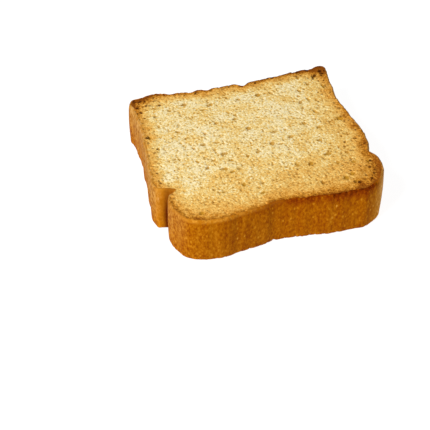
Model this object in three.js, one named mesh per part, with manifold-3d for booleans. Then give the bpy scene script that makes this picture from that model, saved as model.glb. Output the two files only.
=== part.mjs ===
// One zwieback: a slice sawn from a tin-baked wheat loaf, then dried and toasted on both sawn faces.
// Millimetres, +Z up. The slice lies on a sawn face. +X runs across the loaf and +Y from the domed
// crown to the flat bottom crust, and the origin is under the middle of the slice.
import * as THREE from 'three';
import { mergeVertices } from 'three/addons/utils/BufferGeometryUtils.js';
import Module from 'manifold-3d';

const wasm = await Module();
wasm.setup();

// Driving dimensions of the slice's outline
const thickness = 15;
const base = { half: 32.6, y: 29.85, lift: 2.3 }; // flat bottom crust, and its corners that stand beyond it
const waist = { half: 31.5, y: 13.5 }; // where the tin's wall left the slice narrowest
const shoulder = { half: 33.7, y: -8.5 }; // widest part of the wall, just before the crown
const notch = { y: -14.2, left: 28.7, right: 32.1 }; // folds between the wall and the crown
const crown = { half: 32.5, hump: -31.8, saddle: -29.2 }; // overhanging top of the loaf, with two humps

// Driving dimensions of the edges and the crust's relief
const rimRound = 0.6;
const rimSteps = 2;
const barrel = 0.25; // how far the side crust swells at mid height
const ripple = 0.12; // unevenness of the side crust
const outlineStep = 1.25; // spacing of the outline's points

// Nicks between the blisters of the bottom crust: where across the loaf, how deep and how wide
const nicks = [
  { x: -17.7, depth: 0.5, width: 1.1 },
  { x: -10.9, depth: 0.8, width: 1.1 },
  { x: -5.8, depth: 0.7, width: 1.0 },
  { x: 5.9, depth: 1.3, width: 1.4 },
  { x: 29.6, depth: 0.6, width: 1.0 },
];

// The largest open pores of the upper face: x, y, length, width, turn in degrees, depth
const largePores = [
  [-9.4, 19.6, 2.7, 0.9, 3, 0.6],
  [-24.9, 20.4, 1.4, 0.9, 60, 0.7],
  [-9.8, -3.3, 2.6, 1.6, 4, 0.7],
  [-11.6, -10.2, 2.1, 1.5, -20, 0.9],
  [-13.6, -5.6, 1.7, 1.1, 10, 0.6],
  [23.6, 8.8, 3.0, 1.3, -62, 0.9],
  [22.3, 20.8, 2.0, 1.1, -60, 0.6],
  [23.5, 15.8, 2.3, 1.1, -66, 0.5],
  [21.9, 1.2, 1.7, 1.4, 0, 0.8],
  [12.0, -1.1, 2.1, 1.4, 8, 0.8],
  [8.0, -3.5, 1.9, 1.1, 5, 0.6],
  [19.9, -12.1, 2.7, 1.6, 6, 0.8],
  [25.9, -17.8, 1.7, 1.1, 10, 0.7],
  [-7.4, -11.4, 2.0, 1.2, -10, 0.6],
  [-14.9, -20.2, 1.8, 1.1, 10, 0.6],
  [-4.3, -23.8, 2.1, 0.9, 12, 0.6],
  [20.5, 11.9, 1.2, 0.9, 0, 0.6],
  [-14.6, 2.7, 2.1, 1.9, 20, 0.5],
  [-10.4, 2.5, 2.4, 1.2, 0, 0.5],
  [7.9, 2.8, 2.6, 1.1, 12, 0.5],
  [-29.3, 10.3, 1.7, 0.8, 84, 0.9],
  [-27.9, 4.3, 1.7, 0.7, 86, 0.9],
  [29.3, 26.8, 1.5, 1.1, 30, 0.9],
  [30.4, 20.8, 2.6, 0.9, -84, 0.8],
  [-22.3, 25.6, 1.2, 0.9, 0, 0.8],
  [30.0, -18.7, 1.4, 1.0, 70, 0.8],
];

// Small pores scattered over both faces
const scatter = {
  upper: { count: 62, seed: 11 },
  lower: { count: 84, seed: 29 },
  length: [0.9, 2.3],
  slimness: [0.5, 0.95],
  steepness: 0.6, // depth against width
  margin: 1.6, // bare width kept along the crust
  gap: 0.45, // bare width kept between two pores
  restPad: 4, // bare radius round the origin on the face that it rests on
};
const poreSides = 7;
const poreRings = 4;
const poreProud = 0.12; // a pore's widest section lies this far outside the face, for a clean cut

const point = (x, y) => new THREE.Vector3(x, y, 0);
const byAngle = THREE.MathUtils.degToRad;

// A smooth stretch of the outline through its points, without its last point
function stretch(points) {
  const curve = new THREE.CatmullRomCurve3(points, false, 'centripetal');
  const steps = Math.max(1, Math.round(curve.getLength() / outlineStep));
  return curve.getSpacedPoints(steps).slice(0, -1);
}

function rightWall() {
  return stretch([
    point(notch.right, notch.y),
    point(shoulder.half - 0.2, shoulder.y - 1.9),
    point(shoulder.half + 0.4, shoulder.y + 2.1),
    point(waist.half + 2, waist.y - 11.3),
    point(waist.half + 1, waist.y - 0.7),
    point(waist.half + 1.8, waist.y + 7.7),
    point(base.half + 1.9, base.y - 1.4),
    point(base.half + 1.9, base.y + 0.8),
  ]);
}

function bottomCrust() {
  return stretch([
    point(base.half + 1.9, base.y + 0.8),
    point(base.half + 0.3, base.y + base.lift - 0.1),
    point(base.half - 1.8, base.y + base.lift - 0.3),
    point(base.half - 4.3, base.y + 1.5),
    point(22.4, base.y + 1.1),
    point(12.4, base.y + 0.1),
    point(0.4, base.y),
    point(-9.7, base.y + 0.3),
    point(-16.7, base.y + 0.9),
    point(9 - base.half, base.y + base.lift),
    point(5.4 - base.half, base.y + 1.2),
    point(2.6 - base.half, base.y + 0.6),
    point(1.4 - base.half, base.y - 1.4),
  ]);
}

function leftWall() {
  return stretch([
    point(1.4 - base.half, base.y - 1.4),
    point(0.9 - waist.half, waist.y + 7.7),
    point(0.6 - waist.half, waist.y + 0.7),
    point(-waist.half - 0.5, waist.y - 8.7),
    point(0.3 - shoulder.half, shoulder.y + 2.8),
    point(-shoulder.half - 0.4, shoulder.y - 2.5),
    point(0.5 - shoulder.half, notch.y + 0.2),
  ]);
}

// The left fold is a sharp crease, because the crown's edge turned in over the wall there
function leftFold() {
  return stretch([point(0.5 - shoulder.half, notch.y + 0.2), point(-notch.left, notch.y - 1.5)]);
}

function domedCrown() {
  return stretch([
    point(-notch.left, notch.y - 1.5),
    point(1.6 - crown.half, notch.y - 3.9),
    point(1 - crown.half, notch.y - 7.1),
    point(2.2 - crown.half, crown.hump + 5.1),
    point(5.6 - crown.half, crown.hump + 1.5),
    point(11.3 - crown.half, crown.hump - 0.2),
    point(-11.7, crown.saddle - 1.8),
    point(0.3, crown.saddle),
    point(11.3, crown.saddle - 1.4),
    point(19.3, crown.hump + 0.7),
    point(crown.half - 6.2, crown.hump + 1.2),
    point(crown.half - 1.6, crown.hump + 4.2),
    point(crown.half + 0.9, notch.y - 8),
    point(crown.half + 1.5, notch.y - 4.3),
    point(notch.right, notch.y),
  ]);
}

// The whole outline, anticlockwise seen from above, with an outward normal at each point
function sliceOutline() {
  const points = [rightWall(), bottomCrust(), leftWall(), leftFold(), domedCrown()].flat();
  return points.map((p, i) => {
    const before = points.at(i - 1);
    const after = points[(i + 1) % points.length];
    const normal = point(after.y - before.y, before.x - after.x).normalize();
    return { x: p.x, y: p.y, normal, index: i, share: i / points.length };
  });
}

// How far a nick draws the bottom crust in; it is deepest at the upper rim
function nickDepth(p, height) {
  if (p.y < base.y - 1) return 0;
  const fade = 0.35 + (0.65 * height) / thickness;
  return nicks.reduce((sum, n) => sum + n.depth * fade * Math.exp(-(((p.x - n.x) / n.width) ** 2)), 0);
}

// Slow unevenness of the side crust, which changes along the outline and with height
function crustRipple(p, height) {
  const turn = 2 * Math.PI * p.share;
  const lift = height / thickness;
  return ripple * (Math.sin(23 * turn + 2 * lift) + 0.6 * Math.sin(41 * turn - 3 * lift) + 0.4 * Math.sin(67 * turn));
}

// Rings of the side crust from the lower face to the upper face: height and inset
function sideRings() {
  const rings = [];
  for (let k = 0; k <= rimSteps; k++) {
    const angle = (Math.PI / 2) * (k / rimSteps);
    rings.push({ height: rimRound * (1 - Math.cos(angle)), inset: rimRound * (1 - Math.sin(angle)) });
  }
  rings.push({ height: thickness / 2, inset: -barrel });
  const upper = rings.slice(0, -1).reverse();
  return rings.concat(upper.map((r) => ({ height: thickness - r.height, inset: r.inset })));
}

// The slice without pores: one closed skin of side rings and two flat sawn faces
function plainSlice(outline) {
  const rings = sideRings();
  const positions = [];
  for (const ring of rings) {
    for (const p of outline) {
      const inset = ring.inset + nickDepth(p, ring.height) - crustRipple(p, ring.height);
      positions.push(p.x - p.normal.x * inset, p.y - p.normal.y * inset, ring.height);
    }
  }
  const n = outline.length;
  const indices = [];
  for (let k = 0; k < rings.length - 1; k++) {
    for (let i = 0; i < n; i++) {
      const a = k * n + i;
      const b = k * n + ((i + 1) % n);
      indices.push(a, b, b + n, a, b + n, a + n);
    }
  }
  const top = (rings.length - 1) * n;
  const rim = (from) => outline.map((p, i) => new THREE.Vector2(positions[3 * (from + i)], positions[3 * (from + i) + 1]));
  for (const [a, b, c] of THREE.ShapeUtils.triangulateShape(rim(top), [])) indices.push(top + a, top + b, top + c);
  for (const [a, b, c] of THREE.ShapeUtils.triangulateShape(rim(0), [])) indices.push(a, c, b);
  const geometry = new THREE.BufferGeometry();
  geometry.setAttribute('position', new THREE.Float32BufferAttribute(positions, 3));
  geometry.setIndex(indices);
  return geometry;
}

// One pore: a squashed ball that reaches into the face at its lower half
function poreBall([x, y, length, width, turn, depth], face) {
  const ball = new THREE.SphereGeometry(1, poreSides, poreRings).rotateX(Math.PI / 2);
  ball.scale(length / 2, width / 2, depth + poreProud).rotateZ(byAngle(turn));
  const proud = face === 0 ? -poreProud : poreProud;
  return ball.translate(x, y, face + proud);
}

// The same draw on every run
function seededDraw(seed) {
  let state = seed;
  return () => {
    state = (state * 1664525 + 1013904223) % 4294967296;
    return state / 4294967296;
  };
}

function isInside(x, y, outline) {
  let inside = false;
  outline.forEach((a, i) => {
    const b = outline[(i + 1) % outline.length];
    const crosses = a.y > y !== b.y > y;
    if (crosses && x < a.x + ((b.x - a.x) * (y - a.y)) / (b.y - a.y)) inside = !inside;
  });
  return inside;
}

// Small pores at random, clear of the crust, of each other and of the pores already there
function scatteredPores(outline, { count, seed }, taken, padRadius) {
  const draw = seededDraw(seed);
  const between = ([low, high], share) => low + (high - low) * share;
  const pores = [...taken];
  while (pores.length < taken.length + count) {
    const x = between([-shoulder.half, shoulder.half], draw());
    const y = between([crown.hump, base.y + base.lift], draw());
    const length = between(scatter.length, draw() ** 2);
    const width = length * between(scatter.slimness, draw());
    const turn = 180 * draw();
    const reach = length / 2;
    const offCrust = outline.every((p) => Math.hypot(p.x - x, p.y - y) > scatter.margin + reach);
    const offOthers = pores.every((q) => Math.hypot(q[0] - x, q[1] - y) > scatter.gap + reach + q[2] / 2);
    const offPad = Math.hypot(x, y) > padRadius + reach;
    if (isInside(x, y, outline) && offCrust && offOthers && offPad) {
      pores.push([x, y, length, width, turn, scatter.steepness * width]);
    }
  }
  return pores;
}

function solidOf(geometry) {
  geometry.deleteAttribute('normal');
  geometry.deleteAttribute('uv');
  const merged = mergeVertices(geometry, 1e-4);
  const mesh = { numProp: 3, vertProperties: merged.attributes.position.array, triVerts: merged.index.array };
  return new wasm.Manifold(new wasm.Mesh({ ...mesh, triVerts: new Uint32Array(mesh.triVerts) }));
}

function geometryOf(solid) {
  const mesh = solid.getMesh();
  const geometry = new THREE.BufferGeometry();
  geometry.setAttribute('position', new THREE.BufferAttribute(mesh.vertProperties, 3));
  geometry.setIndex(new THREE.BufferAttribute(mesh.triVerts, 1));
  return geometry;
}

function zwiebackGeometry() {
  const outline = sliceOutline();
  const upper = scatteredPores(outline, scatter.upper, largePores, 0);
  const lower = scatteredPores(outline, scatter.lower, [], scatter.restPad);
  const balls = [...upper.map((p) => poreBall(p, thickness)), ...lower.map((p) => poreBall(p, 0))];
  const pores = wasm.Manifold.union(balls.map(solidOf));
  const geometry = geometryOf(solidOf(plainSlice(outline)).subtract(pores));
  geometry.computeBoundingBox();
  const middle = geometry.boundingBox.getCenter(new THREE.Vector3());
  geometry.translate(-middle.x, -middle.y, 0);
  geometry.computeVertexNormals();
  return geometry;
}

const toasted = new THREE.MeshStandardMaterial({ color: 0xd9a458, roughness: 0.85, metalness: 0 });
const zwieback = new THREE.Mesh(zwiebackGeometry(), toasted);
zwieback.name = 'zwieback';

const part = new THREE.Group();
part.add(zwieback);

export default part;
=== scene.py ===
# One zwieback: a slice sawn from a tin-baked wheat loaf, dried and toasted on both sawn faces.
import math

import bmesh
import bpy
import numpy as np
from mathutils import Matrix, Vector
from mathutils.geometry import delaunay_2d_cdt
from mathutils.kdtree import KDTree


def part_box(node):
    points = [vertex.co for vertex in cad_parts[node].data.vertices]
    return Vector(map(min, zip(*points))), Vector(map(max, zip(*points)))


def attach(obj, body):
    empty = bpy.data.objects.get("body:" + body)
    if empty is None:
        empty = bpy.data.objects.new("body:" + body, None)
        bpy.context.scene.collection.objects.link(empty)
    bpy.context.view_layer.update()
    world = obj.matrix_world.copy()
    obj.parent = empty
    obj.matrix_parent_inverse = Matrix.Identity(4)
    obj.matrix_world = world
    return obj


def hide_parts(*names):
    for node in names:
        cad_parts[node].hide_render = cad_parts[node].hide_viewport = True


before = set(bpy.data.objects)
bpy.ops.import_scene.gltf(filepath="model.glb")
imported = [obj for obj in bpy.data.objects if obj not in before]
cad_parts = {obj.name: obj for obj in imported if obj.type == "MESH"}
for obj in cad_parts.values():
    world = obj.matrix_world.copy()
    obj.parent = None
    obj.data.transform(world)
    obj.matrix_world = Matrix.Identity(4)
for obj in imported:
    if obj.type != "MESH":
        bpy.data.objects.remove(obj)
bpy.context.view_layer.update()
perMm = 0.001  # metres in a millimetre; the slice is worked out in millimetres
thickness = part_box("zwieback")[1].z / perMm
print("frame loaded: the slice is", round(thickness, 2), "mm thick")


def linearColour(hexCode):
    channels = [int(hexCode[i:i + 2], 16) / 255 for i in (0, 2, 4)]
    return [c / 12.92 if c <= 0.04045 else ((c + 0.055) / 1.055) ** 2.4 for c in channels] + [1.0]


# Adds a node, sets it, feeds its inputs with values or sockets, and gives back one of its outputs
def addNode(tree, kind, feeds=None, out=0, stops=None, **settings):
    node = tree.nodes.new(kind)
    for name, value in settings.items():
        setattr(node, name, value)
    for key, value in (feeds or {}).items():
        if isinstance(value, bpy.types.NodeSocket):
            tree.links.new(value, node.inputs[key])
        else:
            node.inputs[key].default_value = value
    if stops:
        elements = node.color_ramp.elements
        for element, (place, hexCode) in zip(elements, (stops[0], stops[-1])):
            element.position, element.color = place, linearColour(hexCode)
        for place, hexCode in stops[1:-1]:
            elements.new(place).color = linearColour(hexCode)
    return node.outputs[out] if node.outputs else node


# The body of the slice in millimetres, before its crumb is opened
sliceShape = {
    "ringPoints": 700,  # round the outline
    "cornerSamples": 12,  # from one corner of the solid to the next, before the outline is evened out
    "cornerEase": 6,  # points to each side over which the outline's direction turns at a corner
    "foldTurn": 80,  # degrees; a sharper corner of the outline is a fold, and stays sharp
    "poreMargin": 0.8,  # the solid's corners nearer the outline than this belong to the crust
    "levelGap": 0.02,  # corners closer to a height than this lie at it
    "barrel": 0.25,  # how far the side crust swells at mid height
    "rimRadius": 0.6,
    "rimSteps": 4,
    "wallSteps": 15,
    "upperSpacing": 0.285,  # between the points of the upper sawn face
    "lowerSpacing": 0.42,
    "jitter": 0.32,  # share of the spacing
    "rimClearance": 0.6,  # share of the spacing, from a face's points to its rim
    "seed": 5,
    # nicks between the blisters of the bottom crust, which lie beyond nickStart: x, depth and width
    "nicks": [(-17.7, 0.5, 1.1), (-10.9, 0.8, 1.1), (-5.8, 0.7, 1.0), (5.9, 1.3, 1.4), (29.6, 0.6, 1.0)],
    "nickStart": 28.0,
    "nickGain": 0.65,  # share of its depth that a nick gains from the underside to the upper face
}


def unitRows(rows):
    return rows / np.linalg.norm(rows, axis=1, keepdims=True)


def flatTree(points):
    tree = KDTree(len(points))
    for i, p in enumerate(points):
        tree.insert((*p, 0), i)
    tree.balance()
    return tree


# The corners of the solid's middle ring, anticlockwise
def middleRing(solid):
    middle = thickness / 2
    level = [v.co.xy / perMm for v in solid.verts if abs(v.co.z / perMm - middle) < sliceShape["levelGap"]]
    return np.array(sorted(level, key=lambda p: math.atan2(p.y, p.x)))


# A closed line through the corners, smooth except at a fold, as evenly spaced points and outward normals,
# and the sharpest corner, where the crown folded over the left wall
def smoothOutline(corners):
    after, before = np.roll(corners, -1, axis=0), np.roll(corners, 1, axis=0)
    straightness = (unitRows(after - corners) * unitRows(corners - before)).sum(axis=1)
    sharpest = corners[straightness.argmin()]
    tangents = (after - before) / 2
    tangents[straightness < math.cos(math.radians(sliceShape["foldTurn"]))] = 0
    t = np.linspace(0, 1, sliceShape["cornerSamples"], endpoint=False)[None, :, None]
    dense = (
        corners[:, None] * (2 * t**3 - 3 * t**2 + 1) + tangents[:, None] * (t**3 - 2 * t**2 + t)
        + after[:, None] * (3 * t**2 - 2 * t**3) + np.roll(tangents, -1, axis=0)[:, None] * (t**3 - t**2)
    ).reshape(-1, 2)
    closed = np.vstack([dense, dense[:1]])
    reach = np.append(0, np.linalg.norm(np.diff(closed, axis=0), axis=1).cumsum())
    stations = np.linspace(0, reach[-1], sliceShape["ringPoints"], endpoint=False)
    ring = np.column_stack([np.interp(stations, reach, closed[:, axis]) for axis in (0, 1)])
    along = unitRows(np.roll(ring, -1, axis=0) - np.roll(ring, 1, axis=0))
    ease = sliceShape["cornerEase"]
    weights = [math.exp(-2 * (k / ease) ** 2) for k in range(-ease, ease + 1)]
    along = unitRows(sum(w * np.roll(along, k - ease, axis=0) for k, w in enumerate(weights)))
    return ring, np.column_stack([along[:, 1], -along[:, 0]]), sharpest


# The solid's pores: centre on the face, half length, half width, depth and turn of each
def solidPores(solid, ring):
    outline = flatTree(ring)
    gap = sliceShape["levelGap"]
    solid.verts.index_update()
    loose = {}
    for v in solid.verts:
        x, y, z = v.co / perMm
        if gap < z < thickness - gap and outline.find((x, y, 0))[2] > sliceShape["poreMargin"]:
            loose[v.index] = v
    pores = []
    while loose:
        cluster, grown = [], [loose.pop(next(iter(loose)))]
        while grown:
            v = grown.pop()
            cluster.append(v)
            linked = [e.other_vert(v).index for e in v.link_edges]
            grown += [loose.pop(i) for i in linked if i in loose]
        points = np.array([v.co / perMm for v in cluster])
        upper = points[0, 2] > thickness / 2
        depths = thickness - points[:, 2] if upper else points[:, 2]
        centre = points[depths.argmax(), :2]
        # an oval's half axes are about twice the deviation of its points
        spread, axes = np.linalg.eigh(np.cov((points[:, :2] - points[:, :2].mean(axis=0)).T))
        width, length = 2 * np.sqrt(np.maximum(spread, 0.01))
        turn = math.atan2(axes[1, 1], axes[0, 1])
        pores.append((*centre, thickness if upper else 0, length, width, depths.max(), turn))
    return pores


solid = bmesh.new()
solid.from_mesh(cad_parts["zwieback"].data)
bmesh.ops.remove_doubles(solid, verts=solid.verts, dist=1e-6)
ring, outward, fold = smoothOutline(middleRing(solid))
pores = solidPores(solid, ring)
solid.free()
print("outline read:", len(ring), "points,", len(pores), "pores, fold at", fold.round(2))


# Heights, insets and inward lean of the side crust's rings, bottom to top
def sideRows():
    radius, steps = sliceShape["rimRadius"], sliceShape["rimSteps"]
    arc = [math.pi / 2 * k / steps for k in range(steps + 1)]
    lower = [(radius * (1 - math.cos(a)), radius * (1 - math.sin(a)), a - math.pi / 2) for a in arc]
    wall = np.linspace(radius, thickness - radius, sliceShape["wallSteps"] + 2)[1:-1]
    upper = [(thickness - h, inset, -lean) for h, inset, lean in reversed(lower)]
    return lower + [(h, 0.0, 0.0) for h in wall] + upper


def barrelInset(height):
    return sliceShape["barrel"] * (2 * height / thickness - 1) ** 2


# The middle ring already holds a nick's mean depth
def nickInset(points, height):
    share = sliceShape["nickGain"] * (height / thickness - 0.5)
    across, nicks = points[:, 0], sliceShape["nicks"]
    inset = sum(depth * share * np.exp(-(((across - x) / width) ** 2)) for x, depth, width in nicks)
    return np.where(points[:, 1] > sliceShape["nickStart"], inset, 0)


def insideRing(points, rim):
    inside = np.zeros(len(points), bool)
    x, y = points[:, 0], points[:, 1]
    for (ax, ay), (bx, by) in zip(rim, np.roll(rim, -1, axis=0)):
        crosses = (ay > y) != (by > y)
        if ay != by:
            inside ^= crosses & (x < ax + (bx - ax) * (y - ay) / (by - ay))
    return inside


# Jittered points inside a sawn face's rim, with their distance from it, and the triangles between all
def sawnFace(rim, spacing, rng):
    low, high = rim.min(axis=0), rim.max(axis=0)
    rowStep = spacing * math.sqrt(3) / 2
    rows = np.arange(low[1], high[1], rowStep)
    across = np.arange(low[0], high[0], spacing)
    grid = np.array([(x + spacing / 2 * (k % 2), y) for k, y in enumerate(rows) for x in across])
    grid += rng.uniform(-1, 1, grid.shape) * sliceShape["jitter"] * spacing
    grid = grid[insideRing(grid, rim)]
    outline = flatTree(rim)
    gaps = np.array([outline.find((*p, 0))[2] for p in grid])
    kept = gaps > sliceShape["rimClearance"] * spacing
    grid, gaps = grid[kept], gaps[kept]
    count = len(rim)
    edges = [(i, (i + 1) % count) for i in range(count)]
    insideOnly, closeness = 1, 1e-7
    made = delaunay_2d_cdt([Vector(p) for p in np.vstack([rim, grid])], edges, [], insideOnly, closeness)
    source = [origins[0] for origins in made[3]]
    return grid, gaps, np.array([[source[i] for i in face] for face in made[2]])


def storeAttribute(mesh, name, kind, domain, values):
    field = "vector" if kind == "FLOAT_VECTOR" else "value"
    mesh.attributes.new(name, kind, domain).data.foreach_set(field, np.ravel(values))


# Side crust in rings, then the two sawn faces. Each point keeps its way inward and its distance from its
# face's rim, which is 0 on the crust, and from the nearest edge
def bodyMesh():
    rng = np.random.default_rng(sliceShape["seed"])
    rows = sideRows()
    count = len(ring)
    places, inward, rimGap, edgeGap = [], [], [], []
    for height, inset, lean in rows:
        drawn = inset + barrelInset(height) + nickInset(ring, height)
        places.append(np.column_stack([ring - outward * drawn[:, None], np.full(count, height)]))
        inward.append(np.column_stack([-outward * math.cos(lean), np.full(count, -math.sin(lean))]))
        rimGap.append(np.zeros(count))
        edgeGap.append(np.full(count, min(height, thickness - height)))
    faces = []
    for k in range(len(rows) - 1):
        for i in range(count):
            a, b = k * count + i, k * count + (i + 1) % count
            faces.append((a, b, b + count, a + count))
    sideFaces = len(faces)
    topRow = len(rows) - 1
    for upper, spacing in ((True, sliceShape["upperSpacing"]), (False, sliceShape["lowerSpacing"])):
        row = topRow if upper else 0
        grid, gaps, triangles = sawnFace(places[row][:, :2], spacing, rng)
        start = sum(len(p) for p in places)
        triangles = np.where(triangles < count, triangles + row * count, triangles - count + start)
        faces += [tuple(t if upper else t[::-1]) for t in triangles.tolist()]
        places.append(np.column_stack([grid, np.full(len(grid), thickness if upper else 0)]))
        inward.append(np.tile((0.0, 0.0, -1.0 if upper else 1.0), (len(grid), 1)))
        rimGap.append(gaps)
        edgeGap.append(gaps)
    mesh = bpy.data.meshes.new("zwieback_slice")
    mesh.from_pydata((np.vstack(places) * perMm).tolist(), [], faces)
    storeAttribute(mesh, "inward", "FLOAT_VECTOR", "POINT", np.vstack(inward))
    storeAttribute(mesh, "rimGap", "FLOAT", "POINT", np.concatenate(rimGap))
    storeAttribute(mesh, "edgeGap", "FLOAT", "POINT", np.concatenate(edgeGap))
    storeAttribute(mesh, "sawn", "BOOLEAN", "FACE", np.arange(len(faces)) >= sideFaces)
    mesh.polygons.foreach_set("use_smooth", np.ones(len(faces), bool))
    mesh.update()
    return mesh


# The pores as loose points that carry their sizes
def poreCentres():
    values = np.array(pores)
    mesh = bpy.data.meshes.new("poreCentres")
    mesh.from_pydata((values[:, :3] * perMm).tolist(), [], [])
    storeAttribute(mesh, "halfSize", "FLOAT_VECTOR", "POINT", values[:, 3:6])
    storeAttribute(mesh, "turn", "FLOAT", "POINT", values[:, 6])
    centres = bpy.data.objects.new("poreCentres", mesh)
    bpy.context.scene.collection.objects.link(centres)
    return centres


# Relief of the crumb and the crust in millimetres, as the inputs of the Geometry Nodes tree. A cell is the
# room of one bubble, and a radius is a share of it. Fineness counts a pattern's features to a millimetre
relief = {
    "Fine Cell": 1.1,
    "Fine Radius": 0.42,
    "Medium Cell": 1.8,
    "Medium Radius": 0.33,
    "Coarse Cell": 4.2,
    "Coarse Radius": 0.2,
    "Cell Depth": 0.6,  # of a bubble's radius
    "Pore Depth": 0.75,  # of the solid's
    "Pore Bowl": 0.65,  # below 1, a pore's floor is flatter and its edge steeper
    "Warp": 0.9,
    "Warp Fineness": 0.9,
    "Dish": 0.14,  # how much lower a sawn face lies inside its rim
    "Grain": 0.2,
    "Grain Fineness": 1.6,
    "Streak": 0.12,
    "Streak Fineness": 0.8,
    "Blister": 0.2,
    "Blister Fineness": 0.22,
    "Chip": 0.6,
    "Chip Fineness": 0.75,
    "Seed": 3.0,
}


# The seed picks another part of every pattern
def seededPlace(tree, place, sizes):
    shift = addNode(tree, "ShaderNodeCombineXYZ", {"X": sizes["Seed"], "Y": sizes["Seed"]})
    return addNode(tree, "ShaderNodeVectorMath", {0: place, 1: shift}, operation="ADD")


# Everything is bent a little, so that no bubble is a true ball
def bendOf(tree, seeded, sizes):
    feeds = {"Vector": seeded, "Scale": sizes["Warp Fineness"], "Detail": 2.0}
    bend = addNode(tree, "ShaderNodeTexNoise", feeds, out="Color")
    bend = addNode(tree, "ShaderNodeVectorMath", {0: bend, 1: (0.5, 0.5, 0.5)}, operation="SUBTRACT")
    return addNode(tree, "ShaderNodeVectorMath", {0: bend, "Scale": sizes["Warp"]}, operation="SCALE")


# A round bowl's depth at a share of its radius: 1 in the middle, and 0 from the rim on
def roundBowl(tree, share):
    share = addNode(tree, "ShaderNodeMath", {0: share, 1: 2.0}, operation="POWER")
    left = addNode(tree, "ShaderNodeMath", {0: 1.0, 1: share}, operation="SUBTRACT")
    return addNode(tree, "ShaderNodeMath", {0: left, 1: 0.0}, operation="MAXIMUM")


# Depth of the bubbles of three sizes, worked out alike for the mesh and for its colours. They are longer up
# the loaf than across and mostly small, and the deepest one counts. The fine ones lie all in the face, so
# that they are close; the saw meets the others at any height
def bubbleDepth(tree, bent, sizes):
    bent = addNode(tree, "ShaderNodeVectorMath", {0: bent, 1: (1, 0.8, 1)}, operation="MULTIPLY")
    deepest = 0.0
    for size, dimensions in (("Fine", "2D"), ("Medium", "3D"), ("Coarse", "3D")):
        room, widest = sizes[size + " Cell"], sizes[size + " Radius"]
        scale = addNode(tree, "ShaderNodeMath", {0: 1.0, 1: room}, operation="DIVIDE")
        feeds = {"Vector": bent, "Scale": scale}
        cell = addNode(tree, "ShaderNodeTexVoronoi", feeds, voronoi_dimensions=dimensions).node.outputs
        chance = addNode(tree, "ShaderNodeSeparateXYZ", {0: cell["Color"]})
        chance = addNode(tree, "ShaderNodeMath", {0: chance, 1: 1.5}, operation="POWER")
        feeds = {"Value": chance, "From Min": 0.0, "From Max": 1.0, "To Min": 0.3, "To Max": 1.0}
        radius = addNode(tree, "ShaderNodeMapRange", feeds)
        radius = addNode(tree, "ShaderNodeMath", {0: radius, 1: widest}, operation="MULTIPLY")
        share = addNode(tree, "ShaderNodeMath", {0: cell["Distance"], 1: radius}, operation="DIVIDE")
        bowl = addNode(tree, "ShaderNodeMath", {0: roundBowl(tree, share), 1: radius}, operation="MULTIPLY")
        bowl = addNode(tree, "ShaderNodeMath", {0: bowl, 1: room}, operation="MULTIPLY")
        deepest = addNode(tree, "ShaderNodeMath", {0: deepest, 1: bowl}, operation="MAXIMUM")
    return addNode(tree, "ShaderNodeMath", {0: deepest, 1: sizes["Cell Depth"]}, operation="MULTIPLY")


# Depth of the nearest large pore's oval bowl, turned its way
def poreDepth(tree, given, position, bend):
    cloud = addNode(tree, "GeometryNodeObjectInfo", {"Object": given["Pores"]}, out="Geometry")
    nearest = addNode(tree, "GeometryNodeSampleNearest", {"Geometry": cloud}, domain="POINT")
    sampled = []
    for name, kind in (("position", "FLOAT_VECTOR"), ("halfSize", "FLOAT_VECTOR"), ("turn", "FLOAT")):
        value = addNode(tree, "GeometryNodeInputNamedAttribute", {"Name": name}, data_type=kind)
        feeds = {"Geometry": cloud, "Value": value, "Index": nearest}
        sampled.append(addNode(tree, "GeometryNodeSampleIndex", feeds, data_type=kind, domain="POINT"))
    centre, halfSize, turn = sampled
    offset = addNode(tree, "ShaderNodeVectorMath", {0: position, 1: centre}, operation="SUBTRACT")
    offset = addNode(tree, "ShaderNodeVectorMath", {0: offset, "Scale": 1 / perMm}, operation="SCALE")
    offset = addNode(tree, "ShaderNodeVectorMath", {0: offset, 1: bend}, operation="ADD")
    offset = addNode(tree, "ShaderNodeVectorMath", {0: offset, 1: (1, 1, 0)}, operation="MULTIPLY")
    unturn = addNode(tree, "ShaderNodeMath", {0: turn, 1: -1.0}, operation="MULTIPLY")
    feeds = {"Vector": offset, "Angle": unturn}
    offset = addNode(tree, "ShaderNodeVectorRotate", feeds, rotation_type="Z_AXIS")
    share = addNode(tree, "ShaderNodeVectorMath", {0: offset, 1: halfSize}, operation="DIVIDE")
    share = addNode(tree, "ShaderNodeVectorMath", {0: share}, out="Value", operation="LENGTH")
    feeds = {0: roundBowl(tree, share), 1: given["Pore Bowl"]}
    bowl = addNode(tree, "ShaderNodeMath", feeds, operation="POWER")
    deepest = addNode(tree, "ShaderNodeSeparateXYZ", {0: halfSize}, out="Z")
    return addNode(tree, "ShaderNodeMath", {0: bowl, 1: deepest}, operation="MULTIPLY")


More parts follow.
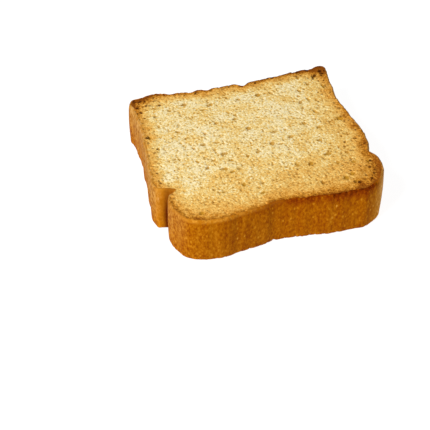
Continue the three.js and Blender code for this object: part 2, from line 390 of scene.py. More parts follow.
# A sawn face: bubbles and pores cut open by the saw. Its outermost crumb is crust and stays shut, and the
# rest lies a little lower
def faceDepth(tree, given, seeded, bend, pore, rimGap):
    bent = addNode(tree, "ShaderNodeVectorMath", {0: seeded, 1: bend}, operation="ADD")
    pits = bubbleDepth(tree, bent, given)
    hollow = addNode(tree, "ShaderNodeMath", {0: pore, 1: given["Pore Depth"]}, operation="MULTIPLY")
    pits = addNode(tree, "ShaderNodeMath", {0: pits, 1: hollow}, operation="MAXIMUM")
    feeds = {"Value": rimGap, "From Min": 0.25, "From Max": 0.9, "To Min": 0.0, "To Max": 1.0}
    opened = addNode(tree, "ShaderNodeMapRange", feeds, interpolation_type="SMOOTHSTEP")
    pits = addNode(tree, "ShaderNodeMath", {0: pits, 1: opened}, operation="MULTIPLY")
    feeds = {"Value": rimGap, "From Min": 0.2, "From Max": 1.8, "To Min": 0.0, "To Max": given["Dish"]}
    sunk = addNode(tree, "ShaderNodeMapRange", feeds, interpolation_type="SMOOTHSTEP")
    feeds = {"Vector": seeded, "Scale": given["Grain Fineness"], "Detail": 3.0}
    grain = addNode(tree, "ShaderNodeTexNoise", feeds)
    grain = addNode(tree, "ShaderNodeMath", {0: grain, 1: given["Grain"]}, operation="MULTIPLY")
    depth = addNode(tree, "ShaderNodeMath", {0: pits, 1: sunk}, operation="ADD")
    return addNode(tree, "ShaderNodeMath", {0: depth, 1: grain}, operation="ADD")


# The side crust has fine upright streaks where it left the tin, and slow blisters, but neither at its rims
def crustDepth(tree, given, seeded, edgeGap):
    depth = 0.0
    for name, stretch, detail in (("Streak", 0.14, 3.0), ("Blister", 0.5, 1.0)):
        feeds = {0: seeded, 1: (1, 1, stretch)}
        upright = addNode(tree, "ShaderNodeVectorMath", feeds, operation="MULTIPLY")
        feeds = {"Vector": upright, "Scale": given[name + " Fineness"], "Detail": detail}
        swell = addNode(tree, "ShaderNodeTexNoise", feeds)
        swell = addNode(tree, "ShaderNodeMath", {0: swell, 1: 0.5}, operation="SUBTRACT")
        swell = addNode(tree, "ShaderNodeMath", {0: swell, 1: given[name]}, operation="MULTIPLY")
        depth = addNode(tree, "ShaderNodeMath", {0: depth, 1: swell}, operation="ADD")
    feeds = {"Value": edgeGap, "From Min": 0.0, "From Max": 0.5, "To Min": 0.0, "To Max": 1.0}
    offRim = addNode(tree, "ShaderNodeMapRange", feeds)
    return addNode(tree, "ShaderNodeMath", {0: depth, 1: offRim}, operation="MULTIPLY")


# Chips along both rims
def chipDepth(tree, given, seeded, edgeGap):
    feeds = {"Vector": seeded, "Scale": given["Chip Fineness"], "Detail": 3.0}
    chip = addNode(tree, "ShaderNodeTexNoise", feeds)
    feeds = {"Value": chip, "From Min": 0.5, "From Max": 0.75, "To Min": 0.0, "To Max": given["Chip"]}
    chip = addNode(tree, "ShaderNodeMapRange", feeds, interpolation_type="SMOOTHSTEP")
    feeds = {"Value": edgeGap, "From Min": 0.0, "From Max": 1.1, "To Min": 1.0, "To Max": 0.0}
    nearRim = addNode(tree, "ShaderNodeMapRange", feeds, interpolation_type="SMOOTHSTEP")
    return addNode(tree, "ShaderNodeMath", {0: chip, 1: nearRim}, operation="MULTIPLY")


# Moves every point of the slice inward by the depth at its place
def crumbTree():
    tree = bpy.data.node_groups.new("openCrumb", "GeometryNodeTree")
    sockets = {"Slice": "Geometry", "Pores": "Object", "Crumb": "Material", "Crust": "Material"}
    for name, kind in {**sockets, **dict.fromkeys(relief, "Float")}.items():
        tree.interface.new_socket(name, in_out="INPUT", socket_type="NodeSocket" + kind)
    tree.interface.new_socket("Slice", in_out="OUTPUT", socket_type="NodeSocketGeometry")
    given = addNode(tree, "NodeGroupInput").node.outputs
    kinds = {"rimGap": "FLOAT", "edgeGap": "FLOAT", "inward": "FLOAT_VECTOR", "sawn": "BOOLEAN"}
    stored = {}
    for name, kind in kinds.items():
        stored[name] = addNode(tree, "GeometryNodeInputNamedAttribute", {"Name": name}, data_type=kind)
    position = addNode(tree, "GeometryNodeInputPosition")
    place = addNode(tree, "ShaderNodeVectorMath", {0: position, "Scale": 1 / perMm}, operation="SCALE")
    seeded = seededPlace(tree, place, given)
    bend = bendOf(tree, seeded, given)
    pore = poreDepth(tree, given, position, bend)

    onFace = addNode(tree, "ShaderNodeMath", {0: stored["rimGap"], 1: 0.001}, operation="GREATER_THAN")
    onCrust = crustDepth(tree, given, seeded, stored["edgeGap"])
    opened = faceDepth(tree, given, seeded, bend, pore, stored["rimGap"])
    depth = addNode(tree, "ShaderNodeMix", {0: onFace, 2: onCrust, 3: opened})
    chip = chipDepth(tree, given, seeded, stored["edgeGap"])
    depth = addNode(tree, "ShaderNodeMath", {0: depth, 1: chip}, operation="ADD")
    depth = addNode(tree, "ShaderNodeMath", {0: depth, 1: perMm}, operation="MULTIPLY")
    move = addNode(tree, "ShaderNodeVectorMath", {0: stored["inward"], "Scale": depth}, operation="SCALE")
    moved = given["Slice"]
    for name, value, kind in (("pore", pore, "FLOAT"), ("sawnPlace", place, "FLOAT_VECTOR")):
        feeds = {"Geometry": moved, "Name": name, "Value": value}
        moved = addNode(tree, "GeometryNodeStoreNamedAttribute", feeds, data_type=kind, domain="POINT")
    moved = addNode(tree, "GeometryNodeSetPosition", {"Geometry": moved, "Offset": move})
    real = addNode(tree, "GeometryNodeRealizeInstances", {"Geometry": moved})
    crusted = addNode(tree, "GeometryNodeSetMaterial", {"Geometry": real, "Material": given["Crust"]})
    feeds = {"Geometry": crusted, "Selection": stored["sawn"], "Material": given["Crumb"]}
    crumbed = addNode(tree, "GeometryNodeSetMaterial", feeds)
    addNode(tree, "NodeGroupOutput", {0: crumbed})
    return tree


# A new material's tree, with the place on the slice in mm: whole, without its height and by axis
def startMaterial(name):
    material = bpy.data.materials.new(name)
    material.use_nodes = True
    tree = material.node_tree
    tree.nodes.clear()
    place = addNode(tree, "ShaderNodeAttribute", out="Vector", attribute_name="sawnPlace")
    parts = addNode(tree, "ShaderNodeSeparateXYZ", {0: place}).node.outputs
    flat = addNode(tree, "ShaderNodeVectorMath", {0: place, 1: (1, 1, 0)}, operation="MULTIPLY")
    return material, tree, {"place": place, "flat": flat, "X": parts["X"], "Y": parts["Y"], "Z": parts["Z"]}


def finishMaterial(tree, colour, shade, height, look):
    colour = addNode(tree, "ShaderNodeVectorMath", {0: colour, "Scale": shade}, operation="SCALE")
    feeds = {"Height": height, "Strength": 0.4, "Distance": look["bump"] * perMm}
    bump = addNode(tree, "ShaderNodeBump", feeds)
    shine = {"Roughness": look["roughness"], "Specular IOR Level": look["gloss"]}
    surface = addNode(tree, "ShaderNodeBsdfPrincipled", {"Base Color": colour, "Normal": bump, **shine})
    addNode(tree, "ShaderNodeOutputMaterial", {"Surface": surface})


# Sawn face of the dried slice: an open, matt wheat crumb, pale cream where it only dried, golden where it
# toasted, brown along the crust and at the corners, and darker in its pits as painted shade
crumbLook = {
    # from dried to toasted, the walls between the bubbles and the floors of the pits, whose darker colour is
    # painted shade
    "walls": [
        (0.0, "FCEBBC"), (0.12, "F9DF98"), (0.27, "F5C970"),
        (0.5, "EEB254"), (0.75, "D28C2A"), (1.0, "9A5410"),
    ],
    "shadedPitFloors": [(0.0, "C8A04E"), (0.25, "BA862E"), (0.5, "A0681A"), (0.75, "78420C"), (1.0, "441C05")],
    "pore": "B4821C",  # the large pores' olive gold, painted shade in their hollows, and how much of it
    "poreShadeTint": 0.85,
    "scorched": "4C1E00",  # single pits in the toasted bands, and the line along the bottom crust
    "charred": 0.75,  # how far that line goes to the scorched colour
    # patterns, in features to a millimetre. The finest grain of about 0.2 mm would not show, so it is drawn
    # as coarse as 0.5 and 0.7 mm
    "fine": 2.1,
    "grain": 1.4,
    "burntPits": 0.6,
    "uneven": 0.35,
    "patch": 0.13,
    # toasting towards the rim, over how many mm, how far that band's edge wanders, and towards the crown
    "rimToast": 0.48,
    "rimBand": 5.0,
    "rimWander": 1.4,
    "crownToast": 0.24,
    # where the oven caught the face: x, y, reach, toasting, and how many of the pits there are burnt
    "browned": [
        (33, 31, 10, 0.43, 0.6), (-33, 31, 15, 0.45, 0.6), (-34, 33, 9, 0.08, 0.3), (32, -24, 12, 0.24, 0.1),
        (34, -4, 26, 0.2, 0.0), (20, -27, 18, 0.12, 0.0), (-38, -2, 20, -0.16, 0.0), (-36, 4, 18, 0.0, 0.3),
        (26, 16, 14, 0.06, 0.0), (-27, -16, 7, -0.32, 0.0), (-10, -33, 18, -0.1, 0.0),
        (24, -27, 3.6, 0.34, 0.0),
    ],
    # single burnt pits that the photo shows on the upper face: x, y, radius and darkness
    "marks": [
        (-29.5, 25.9, 0.7, 0.9), (-29.0, 23.3, 0.7, 0.9), (-30.2, 23.0, 0.6, 0.7), (-22.4, 25.6, 0.7, 0.9),
        (-30.3, 10.3, 0.7, 0.9), (-25.3, 19.9, 0.8, 0.4), (-25.4, 26.2, 0.7, 0.6), (-27.8, 29.0, 0.8, 0.8),
        (-28.5, 4.3, 0.6, 0.9), (-30.5, 7.7, 0.6, 0.6), (-23.0, 28.4, 0.8, 0.4), (-29.6, 29.1, 0.9, 0.7),
        (31.9, 28.9, 1.1, 1.0), (32.2, 27.5, 0.9, 0.9), (29.6, 27.2, 0.8, 0.9), (28.4, 25.5, 0.7, 0.9),
        (24.5, 30.2, 1.0, 0.8), (30.8, 21.0, 0.9, 0.4), (25.8, 13.4, 0.6, 0.6), (30.8, 8.2, 0.7, 0.5),
        (23.8, -27.4, 0.8, 0.9), (22.6, -26.8, 0.8, 0.6), (25.8, -26.6, 0.7, 0.4), (30.5, -18.8, 0.6, 0.9),
        (29.4, -21.6, 0.6, 0.7), (29.6, -24.6, 0.6, 0.8), (28.1, -26.7, 0.6, 0.9), (31.9, -10.7, 0.6, 0.7),
        (26.8, -12.6, 0.6, 0.5), (26.7, -20.5, 0.5, 0.5), (23.4, -14.4, 0.5, 0.5), (21.7, -31.0, 0.9, 0.5),
    ],
    "markCore": 0.4,  # share of a pit's radius that is as dark as it gets
    "darkest": 0.85,  # how far the scattered pits go to the scorched colour
    "bump": 0.35,
    "roughness": 0.9,
    "gloss": 0.05,
}


# A broken brown line at the very rim, scorched along the bottom crust and softer along the crown
def rimLine(tree, at):
    feeds = {"Value": at["rimGap"], "From Min": 0.1, "From Max": 1.6, "To Min": 1.0, "To Max": 0.0}
    line = addNode(tree, "ShaderNodeMapRange", feeds, interpolation_type="SMOOTHSTEP")
    feeds = {"Value": at["grain"], "From Min": 0.4, "From Max": 0.6, "To Min": 1.0, "To Max": 0.1}
    broken = addNode(tree, "ShaderNodeMapRange", feeds)
    line = addNode(tree, "ShaderNodeMath", {0: line, 1: broken}, operation="MULTIPLY")
    feeds = {"Value": at["Y"], "From Min": 26.0, "From Max": 31.0, "To Min": 0.06, "To Max": 0.7}
    bottom = addNode(tree, "ShaderNodeMapRange", feeds)
    feeds = {"Value": at["Y"], "From Min": -28.0, "From Max": -21.0, "To Min": 0.26, "To Max": 0.0}
    crown = addNode(tree, "ShaderNodeMapRange", feeds)
    strength = addNode(tree, "ShaderNodeMath", {0: bottom, 1: crown}, operation="MAXIMUM")
    return addNode(tree, "ShaderNodeMath", {0: line, 1: strength}, operation="MULTIPLY")


# Toasting grows towards the rim, unevenly, where the oven caught the face, and towards the crown. With it
# comes how many of the pits are burnt
def faceToasting(tree, at, line):
    feeds = {"Vector": at["place"], "Scale": crumbLook["uneven"], "Detail": 4.0}
    uneven = addNode(tree, "ShaderNodeTexNoise", feeds)
    wander = crumbLook["rimWander"]
    feeds = {"Value": uneven, "From Min": 0.25, "From Max": 0.75, "To Min": -wander, "To Max": wander}
    uneven = addNode(tree, "ShaderNodeMapRange", feeds)
    gap = addNode(tree, "ShaderNodeMath", {0: at["rimGap"], 1: uneven}, operation="ADD")
    band, most = crumbLook["rimBand"], crumbLook["rimToast"]
    feeds = {"Value": gap, "From Min": 0.0, "From Max": band, "To Min": most, "To Max": 0.0}
    toast = addNode(tree, "ShaderNodeMapRange", feeds, interpolation_type="SMOOTHSTEP")
    feeds = {"Value": at["Y"], "From Min": -27.0, "From Max": -14.0, "To Min": 0.84, "To Max": 1.0}
    fainter = addNode(tree, "ShaderNodeMapRange", feeds)
    toast = addNode(tree, "ShaderNodeMath", {0: toast, 1: fainter}, operation="MULTIPLY")
    toast = addNode(tree, "ShaderNodeMath", {0: toast, 1: line}, operation="ADD")
    burnt = 0.0
    for x, y, reach, toasting, burning in crumbLook["browned"]:
        feeds = {0: at["flat"], 1: (x, y, 0)}
        away = addNode(tree, "ShaderNodeVectorMath", feeds, out="Value", operation="DISTANCE")
        feeds = {"Value": away, "From Min": 0.0, "From Max": reach, "To Min": 1.0, "To Max": 0.0}
        near = addNode(tree, "ShaderNodeMapRange", feeds, interpolation_type="SMOOTHSTEP")
        toast = addNode(tree, "ShaderNodeMath", {0: near, 1: toasting, 2: toast}, operation="MULTIPLY_ADD")
        burnt = addNode(tree, "ShaderNodeMath", {0: near, 1: burning, 2: burnt}, operation="MULTIPLY_ADD")
    feeds = {"Vector": at["place"], "Scale": crumbLook["patch"], "Detail": 5.0, "Roughness": 0.6}
    patch = addNode(tree, "ShaderNodeTexNoise", feeds)
    feeds = {"Value": patch, "From Min": 0.35, "From Max": 0.65, "To Min": 0.03, "To Max": 0.23}
    patch = addNode(tree, "ShaderNodeMapRange", feeds, interpolation_type="SMOOTHSTEP")
    toast = addNode(tree, "ShaderNodeMath", {0: toast, 1: patch}, operation="ADD")
    most = crumbLook["crownToast"]
    feeds = {"Value": at["Y"], "From Min": -28.0, "From Max": -4.0, "To Min": most, "To Max": 0.0}
    towardsCrown = addNode(tree, "ShaderNodeMapRange", feeds, interpolation_type="SMOOTHSTEP")
    return addNode(tree, "ShaderNodeMath", {0: toast, 1: towardsCrown}, operation="ADD"), burnt


# The mesh's own bubbles, drawn sharper than its triangles can; not at the rim, and less in a large pore
def openPits(tree, at):
    pits = bubbleDepth(tree, at["bent"], relief)
    feeds = {"Value": at["rimGap"], "From Min": 0.5, "From Max": 2.8, "To Min": 0.0, "To Max": 1.0}
    opened = addNode(tree, "ShaderNodeMapRange", feeds, interpolation_type="SMOOTHSTEP")
    pits = addNode(tree, "ShaderNodeMath", {0: pits, 1: opened}, operation="MULTIPLY")
    feeds = {"Value": at["pore"], "From Min": 0.0, "From Max": 0.3, "To Min": 1.0, "To Max": 0.3}
    spared = addNode(tree, "ShaderNodeMapRange", feeds)
    return addNode(tree, "ShaderNodeMath", {0: pits, 1: spared}, operation="MULTIPLY")


# Burnt nearly black: scattered pits where the face is toasted, but not along the crown, the line at the
# rim, and the single pits of the upper face
def burntPits(tree, at, toast, burnt, charred):
    feeds = {"Vector": at["bent"], "Scale": crumbLook["burntPits"]}
    cell = addNode(tree, "ShaderNodeTexVoronoi", feeds, voronoi_dimensions="2D").node.outputs
    chances = addNode(tree, "ShaderNodeSeparateXYZ", {0: cell["Color"]}).node.outputs
    feeds = {"Value": chances["X"], "From Min": 0.15, "From Max": 1.0, "To Min": 0.02, "To Max": 0.42}
    radius = addNode(tree, "ShaderNodeMapRange", feeds)
    feeds = {"Value": cell["Distance"], "From Min": 0.0, "From Max": radius, "To Min": 1.8, "To Max": 0.0}
    spot = addNode(tree, "ShaderNodeMapRange", feeds)
    feeds = {"Value": toast, "From Min": 0.22, "From Max": 0.52, "To Min": 0.0, "To Max": 0.9}
    strength = addNode(tree, "ShaderNodeMapRange", feeds)
    feeds = {"Value": at["Y"], "From Min": -27.0, "From Max": -20.0, "To Min": 0.0, "To Max": 1.0}
    offCrown = addNode(tree, "ShaderNodeMapRange", feeds)
    strength = addNode(tree, "ShaderNodeMath", {0: strength, 1: offCrown}, operation="MULTIPLY")
    feeds = {"Value": chances["Y"], "From Min": 0.5, "From Max": 0.9, "To Min": 0.4, "To Max": 1.0}
    luck = addNode(tree, "ShaderNodeMapRange", feeds)
    strength = addNode(tree, "ShaderNodeMath", {0: strength, 1: luck, 2: burnt}, operation="MULTIPLY_ADD")
    spot = addNode(tree, "ShaderNodeMath", {0: spot, 1: strength}, operation="MULTIPLY")
    spot = addNode(tree, "ShaderNodeMath", {0: spot, 1: crumbLook["darkest"]}, operation="MINIMUM")
    spot = addNode(tree, "ShaderNodeMath", {0: spot, 1: charred}, operation="MAXIMUM")
    ragged = addNode(tree, "ShaderNodeVectorMath", {0: at["bend"], 1: (1, 1, 0)}, operation="MULTIPLY")
    ragged = addNode(tree, "ShaderNodeVectorMath", {0: at["place"], 1: ragged}, operation="ADD")
    for x, y, reach, darkness in crumbLook["marks"]:
        feeds = {0: ragged, 1: (x, y, thickness)}
        away = addNode(tree, "ShaderNodeVectorMath", feeds, out="Value", operation="DISTANCE")
        core = crumbLook["markCore"] * reach
        feeds = {"Value": away, "From Min": core, "From Max": reach, "To Min": darkness, "To Max": 0.0}
        mark = addNode(tree, "ShaderNodeMapRange", feeds, interpolation_type="SMOOTHSTEP")
        spot = addNode(tree, "ShaderNodeMath", {0: spot, 1: mark}, operation="MAXIMUM")
    return spot


def sawnCrumb():
    material, tree, at = startMaterial("sawnToastedCrumb")
    for name in ("rimGap", "pore"):
        at[name] = addNode(tree, "ShaderNodeAttribute", out="Fac", attribute_name=name)
    feeds = {"Vector": at["place"], "Scale": crumbLook["grain"], "Detail": 2.0, "Roughness": 0.8}
    at["grain"] = addNode(tree, "ShaderNodeTexNoise", feeds)
    feeds = {"Vector": at["place"], "Scale": crumbLook["fine"], "Detail": 1.0}
    fine = addNode(tree, "ShaderNodeTexNoise", feeds)
    seeded = seededPlace(tree, at["place"], relief)
    at["bend"] = bendOf(tree, seeded, relief)
    at["bent"] = addNode(tree, "ShaderNodeVectorMath", {0: seeded, 1: at["bend"]}, operation="ADD")

    line = rimLine(tree, at)
    charred = addNode(tree, "ShaderNodeMath", {0: line, 1: crumbLook["charred"]}, operation="MULTIPLY")
    toast, burnt = faceToasting(tree, at, line)
    spot = burntPits(tree, at, toast, burnt, charred)
    for pattern, swing in ((at["grain"], 0.2), (fine, -0.12)):
        feeds = {"Value": pattern, "From Min": 0.3, "From Max": 0.7, "To Min": -swing, "To Max": swing}
        speckle = addNode(tree, "ShaderNodeMapRange", feeds)
        toast = addNode(tree, "ShaderNodeMath", {0: toast, 1: speckle}, operation="ADD")

    # painted shade: a pit darkens with its depth, and sooner away from the crown
    pits = openPits(tree, at)
    feeds = {"Value": at["Y"], "From Min": -28.0, "From Max": -8.0, "To Min": 0.42, "To Max": 0.28}
    deepest = addNode(tree, "ShaderNodeMapRange", feeds)
    feeds = {"Value": pits, "From Min": 0.0, "From Max": deepest, "To Min": 0.0, "To Max": 1.0}
    sunk = addNode(tree, "ShaderNodeMapRange", feeds)
    walls = addNode(tree, "ShaderNodeValToRGB", {"Fac": toast}, stops=crumbLook["walls"])
    shadedPitFloors = addNode(tree, "ShaderNodeValToRGB", {"Fac": toast}, stops=crumbLook["shadedPitFloors"])
    colour = addNode(tree, "ShaderNodeMix", {0: sunk, 6: walls, 7: shadedPitFloors}, out=2, data_type="RGBA")
    # painted shade in the large pores, growing with their depth
    tint = crumbLook["poreShadeTint"]
    feeds = {"Value": at["pore"], "From Min": 0.0, "From Max": 0.5, "To Min": 0.0, "To Max": tint}
    poreShade = addNode(tree, "ShaderNodeMapRange", feeds, interpolation_type="SMOOTHSTEP")
    for share, name in ((poreShade, "pore"), (spot, "scorched")):
        feeds = {0: share, 6: colour, 7: linearColour(crumbLook[name])}
        colour = addNode(tree, "ShaderNodeMix", feeds, out=2, data_type="RGBA")
    feeds = {"Value": fine, "From Min": 0.3, "From Max": 0.7, "To Min": 0.84, "To Max": 1.16}
    shade = addNode(tree, "ShaderNodeMapRange", feeds)
    height = addNode(tree, "ShaderNodeMath", {0: at["grain"], 1: 0.5}, operation="MULTIPLY")
    height = addNode(tree, "ShaderNodeMath", {0: height, 1: pits}, operation="SUBTRACT")
    finishMaterial(tree, colour, shade, height, crumbLook)
    return material


# Outside of the loaf: a closed, fairly smooth orange-brown crust, with pale dashes of flour, slow darker
# bands and a scorched line under the upper rim; paler on the walls, which the tin kept from the heat.
# Painted shade darkens it towards the right, low on the walls and in the fold's crease, and a painted
# highlight lies along the left half of its upper rim
crustLook = {
    # from pale to dark
    "tones": [(0.0, "DCA860"), (0.3, "C47E16"), (0.55, "AA6000"), (0.8, "863600"), (1.0, "541C00")],
    "wallTones": [(0.2, "DAAE6E"), (0.5, "BD873C"), (0.8, "945410")],
    "rim": "E29A30",  # golden painted highlight where the sawn face rounds into the crust
    "fold": "DA880A",  # deeper orange towards the fold of the crown
    "creaseScorchAndShade": "560600",  # crumb scorched in the fold, darkened further by painted shade in the crease
    # patterns, in features to a millimetre; the grain is again coarser than real
    "grain": 1.4,
    "flour": 0.9,
    "streaks": 0.45,
    "wallStart": 28.0,  # mm from the middle of the loaf
    "wallBlend": 2.5,
    "bump": 0.25,
    "roughness": 0.7,
    "gloss": 0.02,
}


# How dark the crust is: streaks and grain, then where the oven and the tin coloured it, then flour
def crustTone(tree, at):
    upright = addNode(tree, "ShaderNodeVectorMath", {0: at["place"], 1: (1, 1, 0.2)}, operation="MULTIPLY")
    feeds = {"Vector": upright, "Scale": crustLook["streaks"], "Detail": 3.0}
    streak = addNode(tree, "ShaderNodeTexNoise", feeds)
    feeds = {"Value": streak, "From Min": 0.3, "From Max": 0.7, "To Min": 0.48, "To Max": 0.62}
    tone = addNode(tree, "ShaderNodeMapRange", feeds)
    feeds = {"Value": at["grain"], "From Min": 0.3, "From Max": 0.7, "To Min": -0.13, "To Max": 0.13}
    speckle = addNode(tree, "ShaderNodeMapRange", feeds)
    feeds = {"Value": at["X"], "From Min": -34.0, "From Max": -20.0, "To Min": 2.3, "To Max": 1.2}
    rougher = addNode(tree, "ShaderNodeMapRange", feeds)
    speckle = addNode(tree, "ShaderNodeMath", {0: speckle, 1: rougher}, operation="MULTIPLY")
    tone = addNode(tree, "ShaderNodeMath", {0: tone, 1: speckle}, operation="ADD")

    # painted shade: darker to the right, away from the lamp, most of all in the scorched band just under the
    # upper rim, but not on the right wall
    feeds = {"Value": at["X"], "From Min": -30.0, "From Max": 34.0, "To Min": 0.0, "To Max": 1.0}
    right = addNode(tree, "ShaderNodeMapRange", feeds)
    feeds = {"Value": at["X"], "From Min": 27.0, "From Max": 33.0, "To Min": 0.0, "To Max": 1.0}
    farRight = addNode(tree, "ShaderNodeMapRange", feeds)
    right = addNode(tree, "ShaderNodeMath", {0: right, 1: farRight}, operation="SUBTRACT")
    low = thickness - 4
    feeds = {"Value": at["Z"], "From Min": low, "From Max": thickness, "To Min": 0.0, "To Max": 0.3}
    scorched = addNode(tree, "ShaderNodeMapRange", feeds, interpolation_type="SMOOTHSTEP")
    scorched = addNode(tree, "ShaderNodeMath", {0: scorched, 1: 0.1}, operation="ADD")
    scorched = addNode(tree, "ShaderNodeMath", {0: scorched, 1: right}, operation="MULTIPLY")
    tone = addNode(tree, "ShaderNodeMath", {0: tone, 1: scorched}, operation="ADD")

    # painted light: paler at the crown's right end, which turns away from the lamp; and darker where the
    # bottom crust stood on the tin
    feeds = {"Value": at["Y"], "From Min": -28.0, "From Max": -18.0, "To Min": 0.44, "To Max": 0.0}
    paintedCrownEndLight = addNode(tree, "ShaderNodeMapRange", feeds)
    feeds = {"Value": at["X"], "From Min": 25.0, "From Max": 33.0, "To Min": 0.0, "To Max": 1.0}
    crownEnd = addNode(tree, "ShaderNodeMapRange", feeds)
    paintedCrownEndLight = addNode(tree, "ShaderNodeMath", {0: paintedCrownEndLight, 1: crownEnd}, operation="MULTIPLY")
    tone = addNode(tree, "ShaderNodeMath", {0: tone, 1: paintedCrownEndLight}, operation="SUBTRACT")
    feeds = {"Value": at["Y"], "From Min": 27.0, "From Max": 30.0, "To Min": 0.0, "To Max": 0.24}
    tinned = addNode(tree, "ShaderNodeMapRange", feeds, interpolation_type="SMOOTHSTEP")
    tone = addNode(tree, "ShaderNodeMath", {0: tone, 1: tinned}, operation="ADD")

    dashes = addNode(tree, "ShaderNodeVectorMath", {0: at["place"], 1: (1, 1, 0.6)}, operation="MULTIPLY")
    feeds = {"Vector": dashes, "Scale": crustLook["flour"]}
    cell = addNode(tree, "ShaderNodeTexVoronoi", feeds).node.outputs
    chance = addNode(tree, "ShaderNodeSeparateXYZ", {0: cell["Color"]})
    chance = addNode(tree, "ShaderNodeMath", {0: chance, 1: 2.0}, operation="POWER")
    feeds = {"Value": chance, "From Min": 0.05, "From Max": 1.0, "To Min": 0.02, "To Max": 0.36}
    chance = addNode(tree, "ShaderNodeMapRange", feeds)
    feeds = {"Value": cell["Distance"], "From Min": 0.1, "From Max": 0.4, "To Min": chance, "To Max": 0.0}
    speck = addNode(tree, "ShaderNodeMapRange", feeds, interpolation_type="SMOOTHSTEP")
    return addNode(tree, "ShaderNodeMath", {0: tone, 1: speck}, operation="SUBTRACT")


# How much of the orange round the fold and of its crease shows, on the wall's side of it; the crease is
# scorched crumb and painted shade, more of it lower down
def foldShares(tree, at):
    feeds = {0: at["flat"], 1: (*fold, 0)}
    away = addNode(tree, "ShaderNodeVectorMath", feeds, out="Value", operation="DISTANCE")
    start = fold[1] - 0.4
    feeds = {"Value": at["Y"], "From Min": start, "From Max": start + 0.5, "To Min": 0.0, "To Max": 1.0}
    wallSide = addNode(tree, "ShaderNodeMapRange", feeds)
    shares = []
    for near, far, most in ((2.5, 6.8, 0.85), (1.8, 4.3, 1.0)):
        feeds = {"Value": away, "From Min": near, "From Max": far, "To Min": most, "To Max": 0.0}
        share = addNode(tree, "ShaderNodeMapRange", feeds, interpolation_type="SMOOTHSTEP")
        shares.append(addNode(tree, "ShaderNodeMath", {0: share, 1: wallSide}, operation="MULTIPLY"))
    around, creaseScorchAndShade = shares
    # the crease's painted shade grows lower down, where the fold goes deeper
    low, high = thickness - 8, thickness - 0.5
    feeds = {"Value": at["Z"], "From Min": low, "From Max": high, "To Min": 1.0, "To Max": 0.5}
    shadeLowerDown = addNode(tree, "ShaderNodeMapRange", feeds)
    return around, addNode(tree, "ShaderNodeMath", {0: creaseScorchAndShade, 1: shadeLowerDown}, operation="MULTIPLY")


# Painted highlight: a golden rim along the crust's left half, towards the lamp, mottled, and softer on the
# walls
def paintedRimHighlight(tree, at, outer):
    low, high = thickness - 1.5, thickness - 0.3
    feeds = {"Value": at["Z"], "From Min": low, "From Max": high, "To Min": 0.0, "To Max": 1.0}
    rim = addNode(tree, "ShaderNodeMapRange", feeds, interpolation_type="SMOOTHSTEP")
    for value, start, end, first, last in (
        (at["X"], -18.0, 2.0, 0.85, 0.0), (at["grain"], 0.42, 0.58, 0.1, 1.0), (outer, 0.0, 1.0, 1.0, 0.35),
    ):
        feeds = {"Value": value, "From Min": start, "From Max": end, "To Min": first, "To Max": last}
        share = addNode(tree, "ShaderNodeMapRange", feeds)
        rim = addNode(tree, "ShaderNodeMath", {0: rim, 1: share}, operation="MULTIPLY")
    return rim


def bakedCrust():
    material, tree, at = startMaterial("tinBakedCrust")
    upright = addNode(tree, "ShaderNodeVectorMath", {0: at["place"], 1: (1, 1, 0.6)}, operation="MULTIPLY")
    feeds = {"Vector": upright, "Scale": crustLook["grain"], "Detail": 5.0, "Roughness": 0.65}
    at["grain"] = addNode(tree, "ShaderNodeTexNoise", feeds)
    tone = crustTone(tree, at)

    # the walls' paler crust, less of it towards the crown, and less towards the underside, which is painted
    # shade low on the walls
    outer = addNode(tree, "ShaderNodeMath", {0: at["X"]}, operation="ABSOLUTE")
    start, blend = crustLook["wallStart"], crustLook["wallBlend"]
    feeds = {"Value": outer, "From Min": start, "From Max": start + blend, "To Min": 0.0, "To Max": 1.0}
    outer = addNode(tree, "ShaderNodeMapRange", feeds, interpolation_type="SMOOTHSTEP")
    feeds = {"Value": at["Y"], "From Min": -22.0, "From Max": -16.0, "To Min": 0.4, "To Max": 1.0}
    offCrown = addNode(tree, "ShaderNodeMapRange", feeds, interpolation_type="SMOOTHSTEP")
    wall = addNode(tree, "ShaderNodeMath", {0: offCrown, 1: outer}, operation="MULTIPLY")
    # painted shade: the walls darker low down, towards the underside
    feeds = {"Value": at["Z"], "From Min": 2.0, "From Max": thickness, "To Min": 0.0, "To Max": 1.0}
    upper = addNode(tree, "ShaderNodeMapRange", feeds)
    wall = addNode(tree, "ShaderNodeMath", {0: wall, 1: upper}, operation="MULTIPLY")

    baked = addNode(tree, "ShaderNodeValToRGB", {"Fac": tone}, stops=crustLook["tones"])
    sheltered = addNode(tree, "ShaderNodeValToRGB", {"Fac": tone}, stops=crustLook["wallTones"])
    colour = addNode(tree, "ShaderNodeMix", {0: wall, 6: baked, 7: sheltered}, out=2, data_type="RGBA")
    around, creaseScorchAndShade = foldShares(tree, at)
    rim = paintedRimHighlight(tree, at, outer)
    for share, name in ((around, "fold"), (rim, "rim"), (creaseScorchAndShade, "creaseScorchAndShade")):
        feeds = {0: share, 6: colour, 7: linearColour(crustLook[name])}
        colour = addNode(tree, "ShaderNodeMix", feeds, out=2, data_type="RGBA")
    feeds = {"Value": at["grain"], "From Min": 0.3, "From Max": 0.7, "To Min": 1.08, "To Max": 0.92}
    shade = addNode(tree, "ShaderNodeMapRange", feeds)
    finishMaterial(tree, colour, shade, at["grain"], crustLook)
    return material


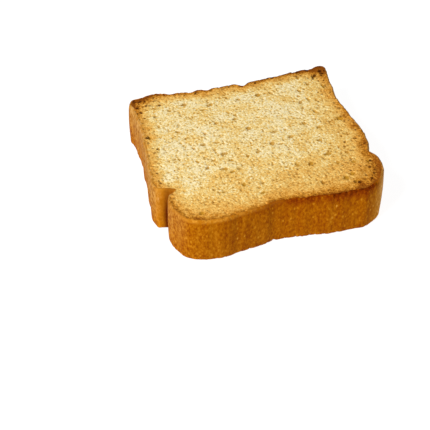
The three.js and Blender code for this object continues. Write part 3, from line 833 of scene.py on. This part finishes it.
piece = bpy.data.objects.new("zwieback_slice", bodyMesh())
bpy.context.scene.collection.objects.link(piece)
print("body made:", len(piece.data.vertices), "points")
centres = poreCentres()
tree = crumbTree()
modifier = piece.modifiers.new("openCrumb", "NODES")  # its result becomes the piece's own mesh
modifier.node_group = tree
inputs = {**relief, "Pores": centres, "Crumb": sawnCrumb(), "Crust": bakedCrust()}
for item in tree.interface.items_tree:
    if item.in_out == "INPUT" and item.name in inputs:
        modifier[item.identifier] = inputs[item.name]
evaluated = piece.evaluated_get(bpy.context.evaluated_depsgraph_get())
opened = bpy.data.meshes.new_from_object(evaluated)
piece.modifiers.clear()
piece.data = opened
bpy.data.objects.remove(centres)
for spare in ("inward", "edgeGap", "sawn"):
    opened.attributes.remove(opened.attributes[spare])
print("crumb opened:", sum(len(p.vertices) - 2 for p in opened.polygons), "triangles")
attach(piece, "root")
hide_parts("zwieback")

# White paper under the slice, a pale sky, and a soft lamp to the left of the camera; in metres and watts
studio = {
    "floorSize": 3.0,
    "floorColour": "808080",
    "floorGlow": 0.92,
    "skyStrength": 0.31,
    "keyPlace": (-0.55, -0.3, 0.6),
    "keySize": 0.3,
    "keyPower": 6.5,
}


def paleFloor():
    half = studio["floorSize"] / 2
    corners = [(-half, -half, 0), (half, -half, 0), (half, half, 0), (-half, half, 0)]
    mesh = bpy.data.meshes.new("floor")
    mesh.from_pydata(corners, [], [(0, 1, 2, 3)])
    floor = bpy.data.objects.new("floor", mesh)
    bpy.context.scene.collection.objects.link(floor)
    material = bpy.data.materials.new("whitePaper")
    material.use_nodes = True
    surface = material.node_tree.nodes["Principled BSDF"].inputs
    surface["Base Color"].default_value = linearColour(studio["floorColour"])
    surface["Roughness"].default_value = 1.0
    surface["Specular IOR Level"].default_value = 0.0
    surface["Emission Color"].default_value = linearColour("FFFFFF")
    surface["Emission Strength"].default_value = studio["floorGlow"]
    mesh.materials.append(material)


def softLight():
    world = bpy.data.worlds.new("paleSky")
    world.use_nodes = True
    sky = world.node_tree.nodes["Background"].inputs
    sky["Color"].default_value = (1, 1, 1, 1)
    sky["Strength"].default_value = studio["skyStrength"]
    bpy.context.scene.world = world
    key = bpy.data.lights.new("softKey", "AREA")
    key.shape = "DISK"
    key.size = studio["keySize"]
    key.energy = studio["keyPower"]
    lamp = bpy.data.objects.new("softKey", key)
    lamp.location = studio["keyPlace"]
    lamp.rotation_mode = "QUATERNION"
    lamp.rotation_quaternion = (-Vector(studio["keyPlace"])).to_track_quat("-Z", "Y")
    bpy.context.scene.collection.objects.link(lamp)


# The photo's camera: the point of the slice that the aim pixel shows, and the long lens
photoView = {
    "width": 430,  # pixels across, and down
    "focal": 1285,  # focal length in pixels
    "aimPixel": (256, 146),
    "aimPoint": (0.09, -2.91, 15.0),  # mm
    "distance": 385.5,  # mm
    "azimuth": -16.5,  # degrees
    "elevation": 41,
    "sensor": 36,  # mm
}


def photoCamera():
    azimuth, elevation = math.radians(photoView["azimuth"]), math.radians(photoView["elevation"])
    flatBack = Vector((math.sin(azimuth), -math.cos(azimuth), 0))
    back = flatBack * math.cos(elevation) + Vector((0, 0, math.sin(elevation)))
    right = (-back).cross(Vector((0, 0, 1))).normalized()
    up = back.cross(right)
    acrossPixels = photoView["aimPixel"][0] - photoView["width"] / 2
    downPixels = photoView["aimPixel"][1] - photoView["width"] / 2
    perPixel = photoView["distance"] / photoView["focal"]
    eye = Vector(photoView["aimPoint"]) + back * photoView["distance"]
    eye -= right * acrossPixels * perPixel
    eye += up * downPixels * perPixel
    data = bpy.data.cameras.new("photoCamera")
    data.sensor_width = photoView["sensor"]
    data.lens = photoView["focal"] / photoView["width"] * data.sensor_width
    data.clip_start, data.clip_end = 0.01, 10
    camera = bpy.data.objects.new("photoCamera", data)
    bpy.context.scene.collection.objects.link(camera)
    camera.matrix_world = Matrix.Translation(eye * perMm) @ Matrix((right, up, back)).transposed().to_4x4()
    bpy.context.scene.camera = camera


paleFloor()
softLight()
photoCamera()
bpy.context.scene.view_settings.view_transform = "Standard"
print("studio set")
